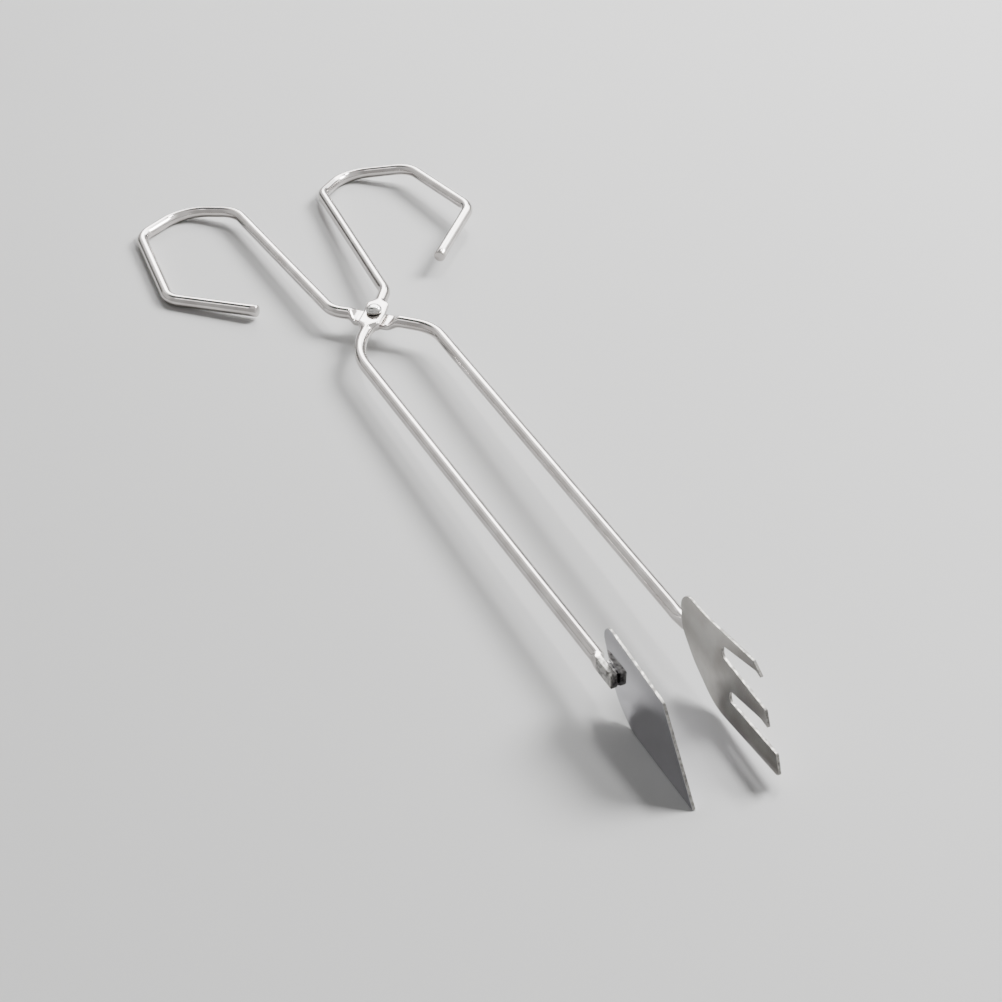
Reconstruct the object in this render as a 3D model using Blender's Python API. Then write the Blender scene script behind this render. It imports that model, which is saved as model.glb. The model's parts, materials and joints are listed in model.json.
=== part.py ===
"""Riveted wire tongs: two crossing bent-wire arms, one rivet, a blade jaw and a three-tined claw jaw.

Five separate bodies.  +Y runs along the tongs towards the jaws, +Z is up from the table, +X is the
blade's side.  The tongs stand as they rest on a table, partly open: on the claw arm's finger loop, on
the top of the blade arm's finger loop and on the blade's lower edge.  The origin is on the table, under
the middle of the whole part.
"""
import math

import bpy
from mathutils import Matrix, Vector

# ------------------------------------------------------------------ driving dimensions (millimetres)
MM = 0.001
WIRE_D = 3.8                       # plated steel wire of both arms
RING = 20                          # points round the wire
CUT_EDGE = 0.90                    # the hook's cut end is this much smaller across, edge broken
CUT_LENGTH = 0.25                  # and its edge is broken over this length

PIVOT = Vector((1.424, -57.180, 7.2))    # middle of the riveted lap; x and y centre the part
HINGE_AXIS = Vector((0.0506, -0.0262, 0.998)).normalized()   # square to the two flats

LAP_GAP = 0.30                     # air between the two stacked flats
FLAT_THICK = 1.9                   # each arm is coined to half the wire at the rivet
FLAT_WIDTH = 7.0
FLAT_HALF_LENGTH = 5.2             # fully flat this far either side of the rivet
FLAT_RUN_OUT = 3.4                 # then swells back to round wire

TAB_THICK = 1.9                    # the wire's end, squashed square against the plate it is welded to
TAB_HEIGHT = 4.2
TAB_RUN_IN = 1.8
TAB_END_TAPER = 0.06               # the tab's height lost at its cut end
TAB_END_LENGTH = 1.0

RIVET_SHANK_D = 3.0
RIVET_HOLE_D = 3.6
RIVET_HEAD_D = 5.0
RIVET_HEAD_H = 1.9
HEAD_GAP = 0.30

SHEET = 0.8                        # both jaw plates; each stands 0.3 off its arm's weld tab

# Wire centrelines from the cut end of the finger hook to the weld tab: x, y from the rivet,
# height above the table, bend radius.
CLAW_ARM_PATH = (
    (29.7, -25.2, 3.0, 0.0),       # cut end of the hook
    (52.7, -45.8, 1.9, 7.0),       # hook corner
    (49.3, -88.9, 1.9, 8.5),       # outer top corner of the loop
    (30.7, -100.6, 1.9, 32.0),      # crown of the loop
    (15.8, -87.3, 4.7, 13.0),       # inner top corner
    (10.5, -9.6, 6.8, 8.6),        # neck, just behind the rivet
    (0.0, 0.0, 7.2, 0.0),          # rivet
    (-13.8, 14.3, 7.8, 14.0),       # shoulder, just in front of the rivet
    (-12.2, 181.0, 12.5, 0.0),     # end of the weld tab
)
BLADE_ARM_PATH = (
    (-34.0, -27.5, 6.2, 0.0),
    (-55.8, -51.4, 7.8, 8.0),
    (-49.8, -89.7, 6.2, 12.0),
    (-30.0, -103.9, 1.2, 32.0),
    (-16.4, -89.3, 3.5, 7.8),
    (-8.9, -13.0, 7.4, 9.0),
    (0.0, 0.0, 7.2, 0.0),
    (12.8, 15.3, 6.9, 28.0),
    (11.7, 180.2, 10.6, 0.0),
)
# Each weld tab's length, and how far along +X it is pressed off the wire's middle.
CLAW_TAB = (10.5, -0.35)
BLADE_TAB = (8.0, 0.75)

# Where each jaw plate stands: x, y from the rivet and height of its own zero point, then pitch,
# tilt and yaw in degrees.
BLADE_PLATE_PLACE = (10.80, 178.4, 10.0, 1.1, 1.2, 0.5)
CLAW_PLATE_PLACE = (-10.90, 179.0, 12.2, 1.7, 0.6, 0.3)

# Jaw outlines in the plane of each plate: along the tongs, up, corner radius.
BLADE_OUTLINE = (
    (-8.0, 13.3, 3.3),             # rear top
    (21.7, 9.9, 0.8),              # front top
    (36.8, -10.7, 0.3),            # lower front tip
    (8.2, -10.1, 10.0),            # rear bottom
    (0.6, -5.1, 12.0),             # the rear edge bows out
)
CLAW_OUTLINE = (
    (-9.1, 12.0, 4.6),             # rear top
    (2.5, 11.5, 60.0),             # the top edge is slightly hollow
    (23.4, 13.9, 0.8), (28.3, 11.0, 0.3), (25.0, 11.9, 2.0),       # upper tine, cut to a point
    (10.6, 8.6, 1.3), (10.9, 5.5, 1.3),                            # root of the upper slot
    (29.8, 3.9, 0.6), (31.6, -0.3, 0.3), (28.6, 0.2, 2.0),         # middle tine
    (15.2, -1.9, 1.2), (15.4, -4.9, 1.2),                          # root of the lower slot
    (35.6, -4.8, 0.6), (37.4, -9.9, 0.6), (36.4, -10.6, 0.4),      # lower tine
    (9.6, -11.6, 15.0),            # rear bottom
    (-1.2, -4.9, 25.0),            # the rear edge bows out
    (-6.9, 0.9, 6.0),
)


# ------------------------------------------------------------------------------------ helpers
def clear_scene():
    for obj in list(bpy.data.objects):
        bpy.data.objects.remove(obj, do_unlink=True)


def metal(name, colour, roughness):
    mat = bpy.data.materials.new(name)
    mat.use_nodes = True
    shader = mat.node_tree.nodes["Principled BSDF"]
    shader.inputs["Base Color"].default_value = (*colour, 1.0)
    shader.inputs["Metallic"].default_value = 1.0
    shader.inputs["Roughness"].default_value = roughness
    return mat


def from_rivet(x, y, height):
    """A place given as x, y from the rivet and height above the table, as a vector from the rivet."""
    return Vector((x, y, height - PIVOT.z))


def add_mesh(name, points, faces, material, smooth=True):
    """Points are in millimetres from the rivet; the object's origin sits on the hinge axis."""
    mesh = bpy.data.meshes.new(name)
    mesh.from_pydata([tuple(p * MM) for p in points], [], faces)
    mesh.validate()
    obj = bpy.data.objects.new(name, mesh)
    bpy.context.scene.collection.objects.link(obj)
    obj.location = PIVOT * MM
    obj.data.materials.append(material)
    if smooth:
        obj.data.shade_smooth()
        obj.data.set_sharp_from_angle(angle=math.radians(35))
    return obj


def fillet(before, corner, after, radius, steps):
    """Points of the arc that rounds one corner, between two straight runs."""
    to_before, to_after = before - corner, after - corner
    half = to_before.angle(to_after) / 2
    tangent = min(radius / math.tan(half), 0.49 * to_before.length, 0.49 * to_after.length)
    radius = tangent * math.tan(half)
    start = corner + to_before.normalized() * tangent
    towards_centre = (to_before.normalized() + to_after.normalized()).normalized()
    centre = corner + towards_centre * (radius / math.sin(half))
    arm = start - centre
    turn = corner + to_after.normalized() * tangent - centre
    swing = arm.angle(turn)
    axis = arm.cross(turn).normalized()
    return [centre + Matrix.Rotation(swing * k / steps, 3, axis) @ arm for k in range(steps + 1)]


def bend_path(path, steps=10):
    """Straight runs joined by arcs, as a list of points relative to the rivet."""
    corners = [from_rivet(*p[:3]) for p in path]
    points = [corners[0]]
    for before, corner, after, spec in zip(corners, corners[1:], corners[2:], path[1:]):
        if spec[3] > 0:
            points += fillet(before, corner, after, spec[3], steps)
        else:
            points.append(corner)
    points.append(corners[-1])
    return points


def rounded(outline):
    """A closed outline's points, each corner rounded to its radius: (along, up) pairs."""
    corners = [Vector((a, b, 0.0)) for a, b, _ in outline]
    count = len(corners)
    points = []
    for i, (_, _, radius) in enumerate(outline):
        steps = 2 if radius < 1.0 else 5
        points += fillet(corners[i - 1], corners[i], corners[(i + 1) % count], radius, steps)
    return [(p.x, p.y) for p in points]


def refine(points):
    """Adds stations: close together at the rivet and at the tab, wide apart on plain wire."""
    out = [points[0]]
    end = points[-1]
    for a, b in zip(points, points[1:]):
        length = (b - a).length
        done = 0.0
        while True:
            here = a.lerp(b, done / length) if length else a
            near = here.length < 12.0 or (here - end).length < 14.0
            step = 0.8 if near else 9.0
            if done + step * 1.4 >= length:
                break
            done += step
            out.append(a.lerp(b, done / length))
        out.append(b)
    return out


def ease(x):
    x = min(1.0, max(0.0, x))
    return x * x * (3 - 2 * x)


def section(from_lap, left, tab_length):
    """Half width, half height and squareness of the wire, and how far it is into the rivet's flat and
    into the weld tab (0 to 1 each), at one distance from the lap and from the wire's end."""
    flat = ease(1 - (from_lap - FLAT_HALF_LENGTH) / FLAT_RUN_OUT)
    tab = ease(1 - (left - tab_length) / TAB_RUN_IN)
    radius = WIRE_D / 2
    wide = radius + (FLAT_WIDTH / 2 - radius) * flat + (TAB_THICK / 2 - radius) * tab
    high = radius + (FLAT_THICK / 2 - radius) * flat + (TAB_HEIGHT / 2 - radius) * tab
    high *= 1 - TAB_END_TAPER * ease(1 - left / TAB_END_LENGTH)
    power = 2.0 + 3.0 * flat + 4.0 * tab
    return wide, high, power, flat, tab


def wire_arm(name, path, side, tab_size, material):
    """Round wire swept along the path, coined at the rivet and squashed at its welded end.

    side is +1 for the arm that lies on top at the rivet, -1 for the one beneath.
    """
    tab_length, tab_shift = tab_size
    stations = refine(bend_path(path))
    count = len(stations)
    travel = [0.0]
    for a, b in zip(stations, stations[1:]):
        travel.append(travel[-1] + (b - a).length)
    at_rivet = travel[min(range(count), key=lambda i: stations[i].length)]
    points, faces = [], []
    for i, here in enumerate(stations):
        ahead = stations[min(i + 1, count - 1)]
        behind = stations[max(i - 1, 0)]
        along = (ahead - behind).normalized()
        across = HINGE_AXIS.cross(along).normalized()
        up = along.cross(across)
        wide, high, power, flat, tab = section(abs(travel[i] - at_rivet), travel[-1] - travel[i],
                                               tab_length)
        trim = CUT_EDGE if i == 0 else 1.0
        lift = side * (FLAT_THICK + LAP_GAP) / 2 * flat
        middle = here + up * lift + Vector((tab_shift * tab, 0, 0))
        for k in range(RING):
            turn = 2 * math.pi * (k + 0.5) / RING
            c, s = math.cos(turn), math.sin(turn)
            x = math.copysign(abs(c) ** (2 / power), c) * wide * trim
            z = math.copysign(abs(s) ** (2 / power), s) * high * trim
            points.append(middle + across * x + up * z)
    inset = (stations[1] - stations[0]).normalized() * CUT_LENGTH
    for k in range(RING):                           # full section just behind the broken cut edge
        points.append(stations[0] + (points[k] - stations[0]) / CUT_EDGE + inset)
    first = list(range(RING))
    second = list(range(count * RING, count * RING + RING))
    rings = [first, second] + [list(range(i * RING, (i + 1) * RING)) for i in range(1, count)]
    for a, b in zip(rings, rings[1:]):
        for k in range(RING):
            n = (k + 1) % RING
            faces.append((a[k], a[n], b[n], b[k]))
    faces.append(tuple(reversed(rings[0])))
    faces.append(tuple(rings[-1]))
    return add_mesh(name, points, faces, material)


def sheet_plate(name, outline, place, material):
    """Flat sheet of one thickness, upright along the tongs, cut to an outline."""
    x, y, height, pitch, tilt, yaw = place
    turn = (Matrix.Rotation(math.radians(yaw), 3, "Z") @ Matrix.Rotation(math.radians(pitch), 3, "X")
            @ Matrix.Rotation(math.radians(tilt), 3, "Y"))
    middle = from_rivet(x, y, height)
    shape = rounded(outline)
    count = len(shape)
    points = [middle + turn @ Vector((side * SHEET / 2, a, b)) for side in (1, -1) for a, b in shape]
    faces = [tuple(reversed(range(count))), tuple(range(count, 2 * count))]
    for i in range(count):
        n = (i + 1) % count
        faces.append((i, n, n + count, i + count))
    return add_mesh(name, points, faces, material, smooth=False)


def turned(name, profile, material, segments=32):
    """Solid of revolution about the hinge axis; profile is (radius, height) from bottom to top."""
    basis = HINGE_AXIS.to_track_quat("Z", "Y").to_matrix()
    points, faces = [], []
    for radius, height in profile:
        for k in range(segments):
            turn = 2 * math.pi * k / segments
            points.append(basis @ Vector((radius * math.cos(turn), radius * math.sin(turn), height)))
    for row in range(len(profile) - 1):
        for k in range(segments):
            n = (k + 1) % segments
            a, b = row * segments, (row + 1) * segments
            faces.append((a + k, a + n, b + n, b + k))
    faces.append(tuple(reversed(range(segments))))
    top = (len(profile) - 1) * segments
    faces.append(tuple(range(top, top + segments)))
    return add_mesh(name, points, faces, material)


def drill(obj, diameter):
    reach = WIRE_D * 1.5
    cutter = turned(obj.name + "_cutter", [(diameter / 2, -reach), (diameter / 2, reach)],
                    metal(obj.name + "_cut", (0.5, 0.5, 0.5), 0.4), segments=28)
    cutter.hide_render = True
    cutter.display_type = "WIRE"
    hole = obj.modifiers.new("rivet_hole", "BOOLEAN")
    hole.operation = "DIFFERENCE"
    hole.solver = "EXACT"
    hole.object = cutter


def rivet_profile():
    """Two domed heads on a shank, from the bottom up, as (radius, height) from the lap's middle."""
    seat = FLAT_THICK + LAP_GAP / 2 + HEAD_GAP
    head = RIVET_HEAD_D / 2
    dome = [(head, 0.0), (head, 0.45), (head * 0.93, 1.05), (head * 0.76, 1.55),
            (head * 0.50, RIVET_HEAD_H), (head * 0.26, RIVET_HEAD_H - 0.12)]
    shank = [(RIVET_SHANK_D / 2, -seat), (RIVET_SHANK_D / 2, seat)]
    return [(r, -(seat + h)) for r, h in reversed(dome)] + shank + [(r, seat + h) for r, h in dome]


# ------------------------------------------------------------------------------------ the part
clear_scene()

claw_arm = wire_arm("claw_arm", CLAW_ARM_PATH, -1, CLAW_TAB,
                    metal("claw_arm_chrome", (0.62, 0.62, 0.61), 0.12))
drill(claw_arm, RIVET_HOLE_D)

blade_arm = wire_arm("blade_arm", BLADE_ARM_PATH, 1, BLADE_TAB,
                     metal("blade_arm_chrome", (0.64, 0.64, 0.63), 0.12))
drill(blade_arm, RIVET_HOLE_D)

turned("pivot_rivet", rivet_profile(), metal("pivot_rivet_steel", (0.60, 0.60, 0.59), 0.16))

sheet_plate("blade_plate", BLADE_OUTLINE, BLADE_PLATE_PLACE,
            metal("blade_plate_steel", (0.58, 0.59, 0.60), 0.10))
sheet_plate("claw_plate", CLAW_OUTLINE, CLAW_PLATE_PLACE,
            metal("claw_plate_steel", (0.60, 0.59, 0.58), 0.10))
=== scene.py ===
import json
import math

import bpy
from mathutils import Matrix, Quaternion, Vector


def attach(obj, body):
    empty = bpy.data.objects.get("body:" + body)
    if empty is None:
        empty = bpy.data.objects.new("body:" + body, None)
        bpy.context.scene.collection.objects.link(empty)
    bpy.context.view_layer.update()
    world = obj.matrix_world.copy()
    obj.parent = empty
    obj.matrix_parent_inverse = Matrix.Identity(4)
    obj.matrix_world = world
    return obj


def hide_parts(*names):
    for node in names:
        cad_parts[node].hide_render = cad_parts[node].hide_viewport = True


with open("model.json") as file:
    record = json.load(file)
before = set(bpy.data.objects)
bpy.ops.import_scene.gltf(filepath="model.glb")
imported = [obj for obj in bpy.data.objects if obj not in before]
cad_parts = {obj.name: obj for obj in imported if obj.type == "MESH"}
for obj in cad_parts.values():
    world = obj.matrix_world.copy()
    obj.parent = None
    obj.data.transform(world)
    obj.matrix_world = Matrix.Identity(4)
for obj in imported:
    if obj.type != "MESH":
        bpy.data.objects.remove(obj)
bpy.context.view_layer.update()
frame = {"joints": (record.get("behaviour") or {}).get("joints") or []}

# ------------------------------------------------------------------ from the frame
MM = 0.001
JOINT = frame["joints"][0]
PIVOT = Vector(JOINT["pos_m"]) / MM
HINGE_AXIS = Vector(JOINT["axis"]).normalized()

# ------------------------------------------------------------------ wire
# Coined flats at the rivet and pressed weld tabs are changes of section along one wire.
WIRE_D = 3.8
RING = 48                          # points round the wire
ARC_STEPS = 22
LAP_GAP = 0.30                     # air between the two coined flats
FLAT_THICK = 1.9
FLAT_WIDTH = 7.0
FLAT_HALF_LENGTH = 5.2
FLAT_RUN_OUT = 3.4
FLAT_SQUARENESS = 3.0
TAB_THICK = 1.9
TAB_HEIGHT = 4.2
TAB_RUN_IN = 1.8
TAB_SQUARENESS = 5.0
END_ROUND = ((0.0, 0.80), (0.10, 0.92), (0.30, 1.0))   # cut ends: distance in, share of the full size
FINE_STEP, PLAIN_STEP = 0.35, 3.0  # between stations along the wire
NEAR_RIVET, NEAR_TAB = 12.0, 12.5

# x, y from the rivet, height above the table, bend radius
CLAW_ARM_PATH = (
    (29.7, -25.2, 3.0, 0.0), (52.7, -45.8, 1.9, 7.0), (49.3, -88.9, 1.9, 8.5), (30.7, -100.6, 1.9, 32.0),
    (15.8, -87.3, 4.7, 13.0), (10.5, -9.6, 6.8, 8.6), (0.0, 0.0, 7.2, 0.0), (-13.8, 14.3, 7.8, 14.0),
    (-12.2, 181.0, 12.5, 0.0))
BLADE_ARM_PATH = (
    (-34.0, -27.5, 6.2, 0.0), (-55.8, -51.4, 7.8, 8.0), (-49.8, -89.7, 6.2, 12.0), (-30.0, -103.9, 1.2, 32.0),
    (-16.4, -89.3, 3.5, 7.8), (-8.9, -13.0, 7.4, 9.0), (0.0, 0.0, 7.2, 0.0), (12.8, 15.3, 6.9, 28.0),
    (11.7, 180.2, 10.6, 0.0))
CLAW_TAB = (10.5, -0.35)           # length, and how far it is pressed off the wire's middle
BLADE_TAB = (8.0, 0.75)

# ------------------------------------------------------------------ jaw plates
SHEET = 0.8
EDGE_ROUND, EDGE_SEGMENTS = 0.11, 3    # the sheared edge, tumbled before plating
BLADE_PLACE = (10.80, 178.4, 10.0, 1.1, 1.2, 0.5)      # x, y, height, pitch, tilt, yaw
CLAW_PLACE = (-10.90, 179.0, 12.2, 1.7, 0.6, 0.3)
# along the tongs, up, corner radius
BLADE_OUTLINE = (
    (-8.0, 13.3, 3.3), (21.7, 9.9, 0.8), (36.8, -10.7, 0.3), (8.2, -10.1, 10.0), (0.6, -5.1, 12.0))
CLAW_OUTLINE = (
    (-9.1, 12.0, 4.6), (2.5, 11.5, 60.0), (23.4, 13.9, 0.8), (28.3, 11.0, 0.3), (25.0, 11.9, 2.0),
    (10.6, 8.6, 1.3), (10.9, 5.5, 1.3), (29.8, 3.9, 0.6), (31.6, -0.3, 0.3), (28.6, 0.2, 2.0),
    (15.2, -1.9, 1.2), (15.4, -4.9, 1.2), (35.6, -4.8, 0.6), (37.4, -9.9, 0.6), (36.4, -10.6, 0.4),
    (9.6, -11.6, 15.0), (-1.2, -4.9, 25.0), (-6.9, 0.9, 6.0))

# ------------------------------------------------------------------ rivet and welds
SHANK_D, HOLE_D, HEAD_D, HEAD_H, HEAD_GAP = 3.0, 3.6, 5.0, 1.9, 0.30
HEAD_RIM, RIM_EASE = 0.45, 0.10    # height of the head's upright rim, and of the eased edge under it
DOME_STEPS, DOME_FULLNESS = 13, 0.8
HEAD_UNEVEN = 0.012                # share of the radius that the hammered rim wanders
WELD_RADIUS = 0.42
WELD_RINGS, WELD_SEGMENTS = 30, 16
TAB_DARK_FROM, BURNT_ROUGHNESS = 172.2, 0.34     # the weld tabs are dull, and dark with weld scale and painted shade, from here forward of the rivet
# bead ends, x, y from the rivet and height
BLADE_WELDS = (
    ((11.50, 174.2, 12.35), (11.52, 179.7, 12.50)),
    ((11.40, 174.2, 8.70), (11.42, 179.7, 8.66)))
CLAW_WELDS = (
    ((-11.52, 174.0, 14.10), (-11.50, 180.4, 14.34)),
    ((-11.52, 174.0, 10.58), (-11.50, 180.4, 10.54)))

# ------------------------------------------------------------------ camera, lights, floor
CAMERA_AT = Vector((0.17230, 0.39150, 0.30190))
CAMERA_TOWARDS = Vector((0.00197, 0.03578, 0.0))
CAMERA_ROLL = 0.383                # degrees
LENS, SENSOR = 64.67, 36.0
FLOOR_HALF = 3.0                   # metres, like the camera and the lights
LIGHT_DISTANCE = 1.3
KEY_FROM, KEY_SIZE, KEY_POWER = Vector((-0.41, -0.48, 1.0)), 0.16, 5.0
SIDE_FROM, SIDE_SIZE, SIDE_POWER = Vector((-1.10, -0.13, 1.0)), 0.60, 29.0

# The room that the chrome mirrors: what faces each compass bearing (0 is +Y, 90 is +X) and elevation,
# how wide it is, how soft its edge is, and how bright.
ROOM_BASE = 0.98
HORIZON_LEVEL, HORIZON_FADE = 0.40, 12.0   # share of the base at the horizon, and degrees until it is full
ROOM_PATCHES = (
    # bearing, elevation, inner and outer half angle, brightness
    (-80.0, 34.0, 16.0, 40.0, 2.2),        # pale wall on the claw's side
    (62.0, 30.0, 24.0, 46.0, 0.60),        # dim wall on the blade's side
    (143.0, 22.0, 6.0, 16.0, 0.95),        # lighter patch of that wall
    (160.0, 6.0, 7.0, 15.0, 0.22),         # dark cupboard low behind the handles
    (-127.0, 13.0, 7.0, 14.0, 0.40),       # wall below the window sill
    (152.0, 61.0, 13.0, 21.0, 0.14),       # unlit ceiling behind the handles
    (100.0, 60.0, 4.0, 9.0, 3.0),          # ceiling strip light
    (175.0, 34.0, 6.0, 15.0, 2.2),         # wall lit by the windows
    (-127.0, 37.0, 11.0, 18.0, 12.0),      # two big soft windows behind the handles
    (-160.0, 30.0, 9.0, 16.0, 14.0),
)
AMBIENT = 0.185                            # the room's light on matt things


# ------------------------------------------------------------------ metals
# Colours are pairs that a noise mixes, darker first. Noise scales are per metre, bump depths in metres.
# The wire's grey tone is the chrome's own; its pinkish tint is painted reflection of the floor and room it
# mirrors.
WIRE_COLOURS = (0.50, 0.47, 0.455), (0.60, 0.575, 0.56)
# The weld tab's dark mottle: weld scale, plus painted shade where the tab's end face is in shade.
TAB_SCALE_AND_SHADE_COLOURS = (0.10, 0.095, 0.09), (0.42, 0.41, 0.39)
BLADE_COLOURS = (0.51, 0.505, 0.53), (0.56, 0.555, 0.585)
# The claw plate is darker and browner than the blade: painted shade for the dark floor its face mirrors.
CLAW_PAINTED_SHADE_COLOURS = (0.29, 0.275, 0.255), (0.42, 0.41, 0.39)
EDGE_COLOURS = (0.14, 0.135, 0.13), (0.36, 0.35, 0.33)
RIVET_COLOURS = (0.46, 0.45, 0.43), (0.62, 0.615, 0.60)
WELD_COLOURS = (0.20, 0.19, 0.18), (0.62, 0.61, 0.60)
PAINT_COLOURS = (0.775, 0.775, 0.772), (0.79, 0.79, 0.787)
WIRE_ROUGH, SHEET_ROUGH = (0.05, 0.12), (0.06, 0.13)
MARKS_FULL, MARKS_GONE = 0.006, 0.011      # the hammer marks' reach from the rivet, metres
EVEN = (1.0, 1.0, 1.0)                     # noise stretched in no direction


# ================================================================== shape helpers
def from_rivet(x, y, height):
    """x and y from the rivet, height above the table, as a point from the rivet."""
    return Vector((x, y, height - PIVOT.z))


def ease(x):
    x = min(1.0, max(0.0, x))
    return x * x * (3 - 2 * x)


def fillet(before, corner, after, radius, steps):
    """Points of the arc that rounds one corner."""
    to_before, to_after = before - corner, after - corner
    half = to_before.angle(to_after) / 2
    tangent = min(radius / math.tan(half), 0.49 * to_before.length, 0.49 * to_after.length)
    radius = tangent * math.tan(half)
    start = corner + to_before.normalized() * tangent
    inward = (to_before.normalized() + to_after.normalized()).normalized()
    centre = corner + inward * (radius / math.sin(half))
    arm = start - centre
    turn = corner + to_after.normalized() * tangent - centre
    swing, axis = arm.angle(turn), arm.cross(turn).normalized()
    return [centre + Matrix.Rotation(swing * k / steps, 3, axis) @ arm for k in range(steps + 1)]


def bend_path(path):
    """The wire's middle line: straight runs with every corner rounded."""
    corners = [from_rivet(*p[:3]) for p in path]
    points = [corners[0]]
    for before, corner, after, spec in zip(corners, corners[1:], corners[2:], path[1:]):
        points += fillet(before, corner, after, spec[3], ARC_STEPS) if spec[3] > 0 else [corner]
    return points + [corners[-1]]


def refine(points):
    """Closer stations at the rivet and the weld tab, wider ones on plain wire."""
    out, end = [points[0]], points[-1]
    for a, b in zip(points, points[1:]):
        length, done = (b - a).length, 0.0
        while True:
            here = a.lerp(b, done / length) if length else a
            near = here.length < NEAR_RIVET or (here - end).length < NEAR_TAB
            step = FINE_STEP if near else PLAIN_STEP
            if done + step * 1.4 >= length:
                break
            done += step
            out.append(a.lerp(b, done / length))
        out.append(b)
    return out


def section(from_lap, left, tab_length):
    """Half width, half height, squareness, and the share of rivet flat and of weld tab."""
    flat = ease(1 - (from_lap - FLAT_HALF_LENGTH) / FLAT_RUN_OUT)
    tab = ease(1 - (left - tab_length) / TAB_RUN_IN)
    radius = WIRE_D / 2
    wide = radius + (FLAT_WIDTH / 2 - radius) * flat + (TAB_THICK / 2 - radius) * tab
    high = radius + (FLAT_THICK / 2 - radius) * flat + (TAB_HEIGHT / 2 - radius) * tab
    return wide, high, 2.0 + FLAT_SQUARENESS * flat + TAB_SQUARENESS * tab, flat, tab


def end_stations(stations):
    """Puts the rounded cut ends' extra stations in, and gives each station's share of full size."""
    head = (stations[1] - stations[0]).normalized()
    tail = (stations[-2] - stations[-1]).normalized()
    first = [(stations[0] + head * d, share) for d, share in END_ROUND]
    last = [(stations[-1] + tail * d, share) for d, share in reversed(END_ROUND)]
    reach = END_ROUND[-1][0]
    inner = [(p, 1.0) for p in stations[1:-1]
             if (p - stations[0]).length > reach and (p - stations[-1]).length > reach]
    return first + inner + last


def new_object(name, points, faces, material, uvs=None, smooth_angle=40):
    """points are millimetres from the rivet; the object stays at the frame's origin."""
    mesh = bpy.data.meshes.new(name)
    mesh.from_pydata([tuple((PIVOT + p) * MM) for p in points], [], faces)
    if uvs:
        layer = mesh.uv_layers.new(name="along_wire")
        corner = 0
        for face in faces:
            for index in face:
                layer.data[corner].uv = uvs[index]
                corner += 1
    mesh.materials.append(material)
    mesh.shade_smooth()
    mesh.set_sharp_from_angle(angle=math.radians(smooth_angle))
    obj = bpy.data.objects.new(name, mesh)
    bpy.context.scene.collection.objects.link(obj)
    return obj


# ================================================================== pieces
def wire_arm(name, path, side, tab_size, material):
    """One bent wire; side says whether its flat lies above (1) or below (-1) the other at the rivet."""
    tab_length, tab_shift = tab_size
    stations = end_stations(refine(bend_path(path)))
    count = len(stations)
    travel = [0.0]
    for (a, _), (b, _) in zip(stations, stations[1:]):
        travel.append(travel[-1] + (b - a).length)
    at_rivet = travel[min(range(count), key=lambda i: stations[i][0].length)]
    points, uvs, faces = [], [], []
    for i, (here, share) in enumerate(stations):
        along = (stations[min(i + 1, count - 1)][0] - stations[max(i - 1, 0)][0]).normalized()
        across = HINGE_AXIS.cross(along).normalized()
        up = along.cross(across)
        wide, high, power, flat, tab = section(abs(travel[i] - at_rivet), travel[-1] - travel[i], tab_length)
        lift = side * (FLAT_THICK + LAP_GAP) / 2 * flat
        middle = here + up * lift + Vector((tab_shift * tab, 0, 0))
        for k in range(RING):
            turn = 2 * math.pi * (k + 0.5) / RING
            c, s = math.cos(turn), math.sin(turn)
            x = math.copysign(abs(c) ** (2 / power), c) * wide * share
            z = math.copysign(abs(s) ** (2 / power), s) * high * share
            points.append(middle + across * x + up * z)
            uvs.append((k / RING, travel[i] / (math.pi * WIRE_D)))
    for i in range(count - 1):
        for k in range(RING):
            n = (k + 1) % RING
            a, b = i * RING, (i + 1) * RING
            faces.append((a + k, a + n, b + n, b + k))
    faces.append(tuple(reversed(range(RING))))
    faces.append(tuple(range((count - 1) * RING, count * RING)))
    obj = new_object(name, points, faces, material, uvs)
    drill(obj)
    return obj


def drill(obj):
    """The rivet's hole, cut through the coined flat."""
    profile = [(HOLE_D / 2, -WIRE_D), (HOLE_D / 2, WIRE_D)]
    cutter = turned(obj.name + "_cutter", profile, obj.data.materials[0], RING)
    hole = obj.modifiers.new("rivet_hole", "BOOLEAN")
    hole.operation, hole.solver, hole.object = "DIFFERENCE", "EXACT", cutter
    bpy.context.view_layer.update()
    cut = bpy.data.meshes.new_from_object(obj.evaluated_get(bpy.context.evaluated_depsgraph_get()))
    obj.modifiers.clear()
    obj.data = cut
    bpy.data.objects.remove(cutter, do_unlink=True)


def turned(name, profile, material, segments=96, wobble=None):
    """Solid of revolution about the hinge axis; profile is (radius, height) from bottom to top."""
    basis = HINGE_AXIS.to_track_quat("Z", "Y").to_matrix()
    points, faces = [], []
    for radius, height in profile:
        for k in range(segments):
            turn = 2 * math.pi * k / segments
            r = radius * (1 + (wobble(turn, height) if wobble else 0.0))
            points.append(basis @ Vector((r * math.cos(turn), r * math.sin(turn), height)))
    for row in range(len(profile) - 1):
        for k in range(segments):
            n = (k + 1) % segments
            a, b = row * segments, (row + 1) * segments
            faces.append((a + k, a + n, b + n, b + k))
    faces.append(tuple(reversed(range(segments))))
    faces.append(tuple(range((len(profile) - 1) * segments, len(profile) * segments)))
    return new_object(name, points, faces, material)


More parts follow.
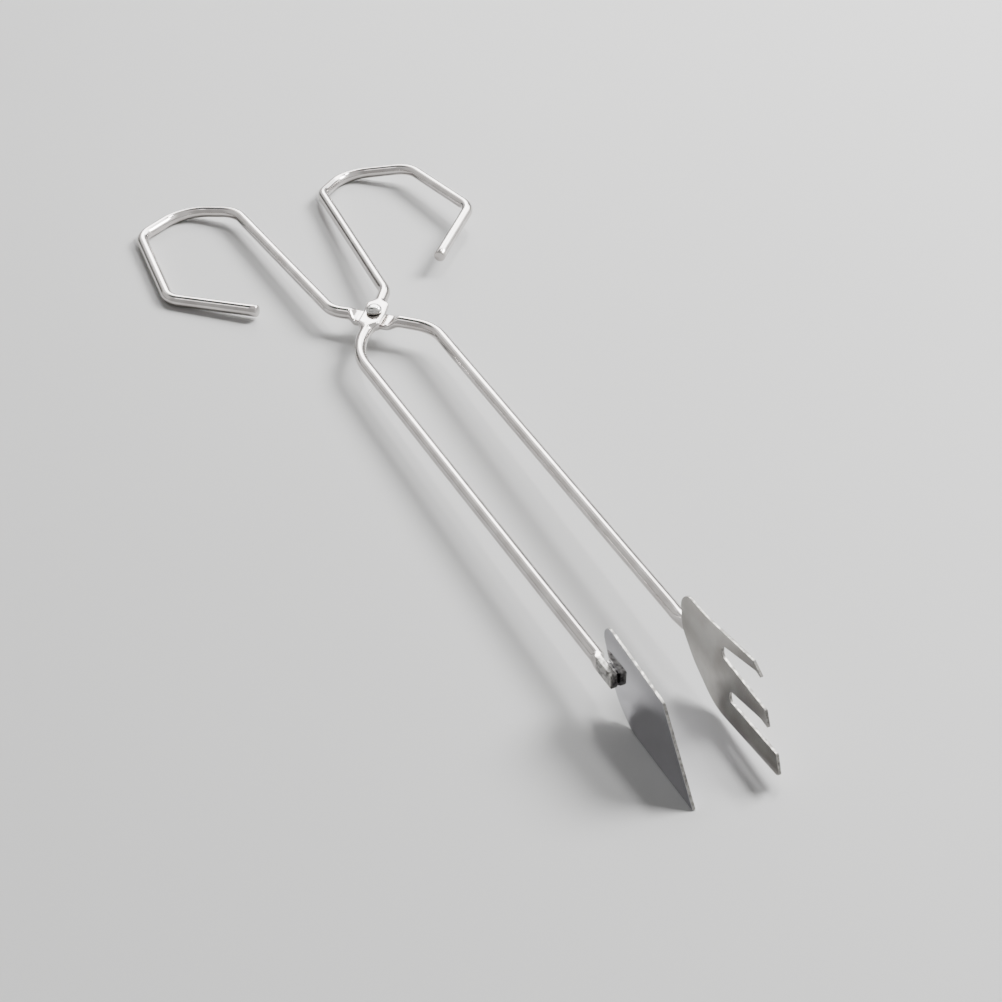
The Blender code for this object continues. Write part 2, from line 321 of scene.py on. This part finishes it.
def rivet(name, material):
    """Two upset heads on a shank; the heads are domed, with the slightly uneven rim a hammer leaves."""
    seat = FLAT_THICK + LAP_GAP / 2 + HEAD_GAP
    head = HEAD_D / 2
    dome = [(head * 0.97, 0.0), (head, RIM_EASE), (head, HEAD_RIM)]
    for k in range(1, DOME_STEPS):
        turn = math.radians(90 * k / DOME_STEPS)
        dome.append((head * math.cos(turn) ** DOME_FULLNESS, HEAD_RIM + (HEAD_H - HEAD_RIM) * math.sin(turn)))
    profile = [(r, -(seat + h)) for r, h in reversed(dome)]
    profile += [(SHANK_D / 2, -seat), (SHANK_D / 2, seat)]
    profile += [(r, seat + h) for r, h in dome]

    def wobble(turn, height):
        return HEAD_UNEVEN * math.sin(3 * turn + height) * (abs(height) > seat)
    return turned(name, profile, material, wobble=wobble)


def sheet_jaw(name, outline, place, material, edge_material):
    """Flat sheet cut to an outline, with its sheared edges slightly rounded and duller than its faces."""
    x, y, height, pitch, tilt, yaw = place
    turn = (Matrix.Rotation(math.radians(yaw), 3, "Z") @ Matrix.Rotation(math.radians(pitch), 3, "X")
            @ Matrix.Rotation(math.radians(tilt), 3, "Y"))
    middle = from_rivet(x, y, height)
    corners = [Vector((a, b, 0.0)) for a, b, _ in outline]
    shape = []
    for i, (_, _, radius) in enumerate(outline):
        steps = 4 if radius < 1.0 else 12
        shape += fillet(corners[i - 1], corners[i], corners[(i + 1) % len(corners)], radius, steps)
    count = len(shape)
    points = [middle + turn @ Vector((side * SHEET / 2, p.x, p.y)) for side in (1, -1) for p in shape]
    faces = [tuple(reversed(range(count))), tuple(range(count, 2 * count))]
    faces += [(i, (i + 1) % count, (i + 1) % count + count, i + count) for i in range(count)]
    obj = new_object(name, points, faces, material)
    obj.data.materials.append(edge_material)
    for face in obj.data.polygons[2:]:
        face.material_index = 1
    bevel = obj.modifiers.new("edge_round", "BEVEL")
    bevel.width, bevel.segments = EDGE_ROUND * MM, EDGE_SEGMENTS
    bevel.limit_method, bevel.angle_limit = "ANGLE", math.radians(60)
    bevel.harden_normals = True
    return obj


def weld_beads(name, lines, material):
    """Short lumpy beads along the seams between a weld tab and its plate."""
    points, faces = [], []
    for line_number, (a, b) in enumerate(lines):
        start, end = from_rivet(*a), from_rivet(*b)
        along = (end - start).normalized()
        side = along.orthogonal().normalized()
        up = side.cross(along)
        base = len(points)
        for i in range(WELD_RINGS + 1):
            t = i / WELD_RINGS
            lump = 0.80 + 0.22 * math.sin(19 * t + 2 * line_number) + 0.12 * math.sin(47 * t + 1)
            radius = WELD_RADIUS * lump * max(0.08, math.sqrt(max(0.0, 1 - (2 * t - 1) ** 6)))
            for k in range(WELD_SEGMENTS):
                turn = 2 * math.pi * k / WELD_SEGMENTS
                uneven = 1 + 0.12 * math.sin(2 * turn + 23 * t)
                outward = side * math.cos(turn) + up * math.sin(turn)
                points.append(start.lerp(end, t) + outward * radius * uneven)
        for i in range(WELD_RINGS):
            for k in range(WELD_SEGMENTS):
                n = (k + 1) % WELD_SEGMENTS
                r, q = base + i * WELD_SEGMENTS, base + (i + 1) * WELD_SEGMENTS
                faces.append((r + k, q + k, q + n, r + n))
        faces.append(tuple(base + k for k in range(WELD_SEGMENTS)))
        faces.append(tuple(base + WELD_RINGS * WELD_SEGMENTS + k for k in reversed(range(WELD_SEGMENTS))))
    return new_object(name, points, faces, material, smooth_angle=70)


# ================================================================== materials
def node(tree, kind, **sockets):
    """A new node with the named inputs set; an underscore in a name stands for a space."""
    made = tree.nodes.new(kind)
    for socket, value in sockets.items():
        made.inputs[socket.replace("_", " ")].default_value = value
    return made


def mapped_noise(tree, source, stretch, scale, detail):
    """Noise texture on stretched coordinates."""
    mapping = node(tree, "ShaderNodeMapping", Scale=stretch)
    noise = node(tree, "ShaderNodeTexNoise", Scale=scale, Detail=detail)
    tree.links.new(source, mapping.inputs["Vector"])
    tree.links.new(mapping.outputs["Vector"], noise.inputs["Vector"])
    return noise.outputs["Fac"]


def spread(tree, value, low, high, from_low=0.35, from_high=0.65):
    """Maps a value, by default the middle of a noise, to the range from low to high."""
    to_range = node(tree, "ShaderNodeMapRange",
                    From_Min=from_low, From_Max=from_high, To_Min=low, To_Max=high)
    tree.links.new(value, to_range.inputs["Value"])
    return to_range.outputs["Result"]


def bump(tree, height, distance, strength, under=None):
    made = node(tree, "ShaderNodeBump", Strength=strength, Distance=distance)
    tree.links.new(height, made.inputs["Height"])
    if under:
        tree.links.new(under, made.inputs["Normal"])
    return made


def metal_base(name):
    mat = bpy.data.materials.new(name)
    mat.use_nodes = True
    tree = mat.node_tree
    shader = tree.nodes["Principled BSDF"]
    shader.inputs["Metallic"].default_value = 1.0
    return mat, tree, shader


def mottled(tree, noise, colours):
    """A colour that the noise moves between a dark and a light one."""
    mix = tree.nodes.new("ShaderNodeMix")
    mix.data_type = "RGBA"
    for socket, colour in zip("AB", colours):
        mix.inputs[socket].default_value = (*colour, 1.0)
    tree.links.new(spread(tree, noise, 0.0, 1.0), mix.inputs["Factor"])
    return mix.outputs["Result"]


def wire_chrome(name):
    """Plated wire: drawing lines along it, soft haze, hammer marks near the rivet, a pinkish tint that is
    painted reflection, and a weld tab darkened by weld scale and painted shade.
    """
    mat, tree, shader = metal_base(name)
    place = tree.nodes.new("ShaderNodeTexCoord")
    lines = mapped_noise(tree, place.outputs["UV"], (90.0, 0.35, 1.0), 1.0, 3.0)
    haze = mapped_noise(tree, place.outputs["Object"], EVEN, 140.0, 4.0)
    scale = mapped_noise(tree, place.outputs["Object"], EVEN, 900.0, 2.0)

    split = tree.nodes.new("ShaderNodeSeparateXYZ")
    tree.links.new(place.outputs["Object"], split.inputs["Vector"])
    # From here forward the wire is darkened: weld scale and painted shade.
    tab_from = (PIVOT.y + TAB_DARK_FROM) * MM
    tab_scale_and_shade = spread(tree, split.outputs["Y"], 0.0, 1.0, tab_from, tab_from + MM)
    painted_tint_and_shade = tree.nodes.new("ShaderNodeMix")
    painted_tint_and_shade.data_type = "RGBA"
    tree.links.new(tab_scale_and_shade, painted_tint_and_shade.inputs["Factor"])
    tree.links.new(mottled(tree, haze, WIRE_COLOURS), painted_tint_and_shade.inputs["A"])
    tree.links.new(mottled(tree, scale, TAB_SCALE_AND_SHADE_COLOURS), painted_tint_and_shade.inputs["B"])
    tree.links.new(painted_tint_and_shade.outputs["Result"], shader.inputs["Base Color"])
    polish = node(tree, "ShaderNodeMix", B=BURNT_ROUGHNESS)
    tree.links.new(tab_scale_and_shade, polish.inputs["Factor"])
    tree.links.new(spread(tree, haze, *WIRE_ROUGH), polish.inputs["A"])
    tree.links.new(polish.outputs["Result"], shader.inputs["Roughness"])

    away = tree.nodes.new("ShaderNodeVectorMath")
    away.operation = "DISTANCE"
    away.inputs[1].default_value = PIVOT * MM
    tree.links.new(place.outputs["Object"], away.inputs[0])
    near = spread(tree, away.outputs["Value"], 1.0, 0.0, MARKS_FULL, MARKS_GONE)
    marks = mapped_noise(tree, place.outputs["Object"], EVEN, 520.0, 2.0)
    masked = tree.nodes.new("ShaderNodeMath")
    masked.operation = "MULTIPLY"
    tree.links.new(marks, masked.inputs[0])
    tree.links.new(near, masked.inputs[1])
    drawn = bump(tree, lines, 0.00002, 0.35)
    hammered = bump(tree, masked.outputs["Value"], 0.00012, 0.6, drawn.outputs["Normal"])
    tree.links.new(hammered.outputs["Normal"], shader.inputs["Normal"])
    return mat


def sheet_chrome(name, colours):
    """Bright plated sheet: faint rolling lines, a slow ripple from blanking, light haze."""
    mat, tree, shader = metal_base(name)
    place = tree.nodes.new("ShaderNodeTexCoord")
    rolling = mapped_noise(tree, place.outputs["Object"], (900.0, 40.0, 2600.0), 1.0, 2.0)
    ripple = mapped_noise(tree, place.outputs["Object"], EVEN, 28.0, 1.0)
    haze = mapped_noise(tree, place.outputs["Object"], EVEN, 90.0, 5.0)
    tree.links.new(mottled(tree, haze, colours), shader.inputs["Base Color"])
    tree.links.new(spread(tree, haze, *SHEET_ROUGH), shader.inputs["Roughness"])
    slow = bump(tree, ripple, 0.0012, 0.5)
    fine = bump(tree, rolling, 0.00001, 0.25, slow.outputs["Normal"])
    tree.links.new(fine.outputs["Normal"], shader.inputs["Normal"])
    return mat


def hammered_steel(name, colours, marks_scale, marks_depth, rough_low, rough_high):
    """Rivet head, weld metal or sheared edge: dented, duller in the hollows."""
    mat, tree, shader = metal_base(name)
    place = tree.nodes.new("ShaderNodeTexCoord")
    marks = mapped_noise(tree, place.outputs["Object"], EVEN, marks_scale, 3.0)
    tree.links.new(mottled(tree, marks, colours), shader.inputs["Base Color"])
    tree.links.new(spread(tree, marks, rough_high, rough_low), shader.inputs["Roughness"])
    dents = bump(tree, marks, marks_depth, 0.7)
    tree.links.new(dents.outputs["Normal"], shader.inputs["Normal"])
    return mat


def floor_paint(name):
    """Pale matt table top with a faint mottle."""
    mat = bpy.data.materials.new(name)
    mat.use_nodes = True
    tree = mat.node_tree
    shader = tree.nodes["Principled BSDF"]
    shader.inputs["Roughness"].default_value = 0.55
    shader.inputs["Specular IOR Level"].default_value = 0.35
    place = tree.nodes.new("ShaderNodeTexCoord")
    mottle = mapped_noise(tree, place.outputs["Object"], EVEN, 5.0, 2.0)
    tree.links.new(mottled(tree, mottle, PAINT_COLOURS), shader.inputs["Base Color"])
    return mat


# ================================================================== setting
def studio():
    """The table top, a small key light and a broad side light."""
    half = FLOOR_HALF
    mesh = bpy.data.meshes.new("table_top")
    corners = [(-half, -half, 0), (half, -half, 0), (half, half, 0), (-half, half, 0)]
    mesh.from_pydata(corners, [], [(0, 1, 2, 3)])
    mesh.materials.append(floor_paint("table_paint"))
    floor = bpy.data.objects.new("table_top", mesh)
    bpy.context.scene.collection.objects.link(floor)
    for name, direction, size, power in (("key", KEY_FROM, KEY_SIZE, KEY_POWER),
                                         ("side", SIDE_FROM, SIDE_SIZE, SIDE_POWER)):
        data = bpy.data.lights.new(name, "AREA")
        data.shape, data.size, data.energy = "DISK", size, power
        lamp = bpy.data.objects.new(name, data)
        lamp.location = direction.normalized() * LIGHT_DISTANCE
        lamp.rotation_euler = direction.to_track_quat("Z", "Y").to_euler()
        bpy.context.scene.collection.objects.link(lamp)
    room()


def room():
    """The world: an even dim light on matt things, and bright and dark stretches for chrome to mirror."""
    world = bpy.data.worlds.new("studio")
    bpy.context.scene.world = world
    world.use_nodes = True
    tree = world.node_tree
    tree.nodes["Background"].inputs["Color"].default_value = (1.0, 1.0, 0.99, 1.0)
    place = tree.nodes.new("ShaderNodeTexCoord")
    split = tree.nodes.new("ShaderNodeSeparateXYZ")
    tree.links.new(place.outputs["Generated"], split.inputs["Vector"])
    level = spread(tree, split.outputs["Z"], ROOM_BASE * HORIZON_LEVEL, ROOM_BASE,
                   0.0, math.sin(math.radians(HORIZON_FADE)))
    for bearing, elevation, inner, outer, brightness in ROOM_PATCHES:
        turn, rise = math.radians(bearing), math.radians(elevation)
        dot = tree.nodes.new("ShaderNodeVectorMath")
        dot.operation = "DOT_PRODUCT"
        flat = math.cos(rise)
        dot.inputs[1].default_value = (math.sin(turn) * flat, math.cos(turn) * flat, math.sin(rise))
        tree.links.new(place.outputs["Generated"], dot.inputs[0])
        share = node(tree, "ShaderNodeMapRange", From_Min=math.cos(math.radians(outer)),
                     From_Max=math.cos(math.radians(inner)), To_Min=0.0, To_Max=1.0)
        share.interpolation_type = "SMOOTHSTEP"
        tree.links.new(dot.outputs["Value"], share.inputs["Value"])
        mix = node(tree, "ShaderNodeMix", B=brightness)
        tree.links.new(share.outputs["Result"], mix.inputs["Factor"])
        tree.links.new(level, mix.inputs["A"])
        level = mix.outputs["Result"]
    rays = tree.nodes.new("ShaderNodeLightPath")
    seen = node(tree, "ShaderNodeMix", A=AMBIENT)
    tree.links.new(rays.outputs["Is Glossy Ray"], seen.inputs["Factor"])
    tree.links.new(level, seen.inputs["B"])
    tree.links.new(seen.outputs["Result"], tree.nodes["Background"].inputs["Strength"])


def camera():
    data = bpy.data.cameras.new("camera")
    data.lens, data.sensor_width = LENS, SENSOR
    data.clip_start, data.clip_end = 0.01, 50.0
    cam = bpy.data.objects.new("camera", data)
    cam.location = CAMERA_AT
    cam.rotation_mode = "QUATERNION"
    roll = Quaternion((0, 0, 1), math.radians(CAMERA_ROLL))
    cam.rotation_quaternion = (CAMERA_TOWARDS - CAMERA_AT).to_track_quat("-Z", "Y") @ roll
    bpy.context.scene.collection.objects.link(cam)
    bpy.context.scene.camera = cam


# ================================================================== the scene
camera()
studio()

arm_metal = wire_chrome("arm_chrome")
blade_metal = sheet_chrome("blade_chrome", BLADE_COLOURS)
# the claw's sheet colour carries painted shade
claw_metal = sheet_chrome("claw_chrome", CLAW_PAINTED_SHADE_COLOURS)
edge_metal = hammered_steel("sheared_edge", EDGE_COLOURS, 900.0, 0.00008, 0.28, 0.50)
rivet_metal = hammered_steel("rivet_chrome", RIVET_COLOURS, 420.0, 0.0003, 0.10, 0.22)
weld_metal = hammered_steel("weld_metal", WELD_COLOURS, 900.0, 0.0005, 0.22, 0.48)

claw_wire = wire_arm("claw_arm_wire", CLAW_ARM_PATH, -1, CLAW_TAB, arm_metal)
blade_wire = wire_arm("blade_arm_wire", BLADE_ARM_PATH, 1, BLADE_TAB, arm_metal)
claw_jaw = sheet_jaw("claw_jaw", CLAW_OUTLINE, CLAW_PLACE, claw_metal, edge_metal)
blade_jaw = sheet_jaw("blade_jaw", BLADE_OUTLINE, BLADE_PLACE, blade_metal, edge_metal)
pieces = (
    (claw_wire, "claw_side", "arm_wire", ["claw_arm"]),
    (blade_wire, "blade_side", "arm_wire", ["blade_arm"]),
    (claw_jaw, "claw_side", "jaw_plate", ["claw_plate"]),
    (blade_jaw, "blade_side", "jaw_plate", ["blade_plate"]),
    (rivet("rivet_heads", rivet_metal), "blade_side", "rivet", ["pivot_rivet"]),
    (weld_beads("claw_welds", CLAW_WELDS, weld_metal), "claw_side", "arm_wire", []),
    (weld_beads("blade_welds", BLADE_WELDS, weld_metal), "blade_side", "arm_wire", []),
)
for piece, body, slot, nodes in pieces:
    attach(piece, body)
    if nodes:
        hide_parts(*nodes)
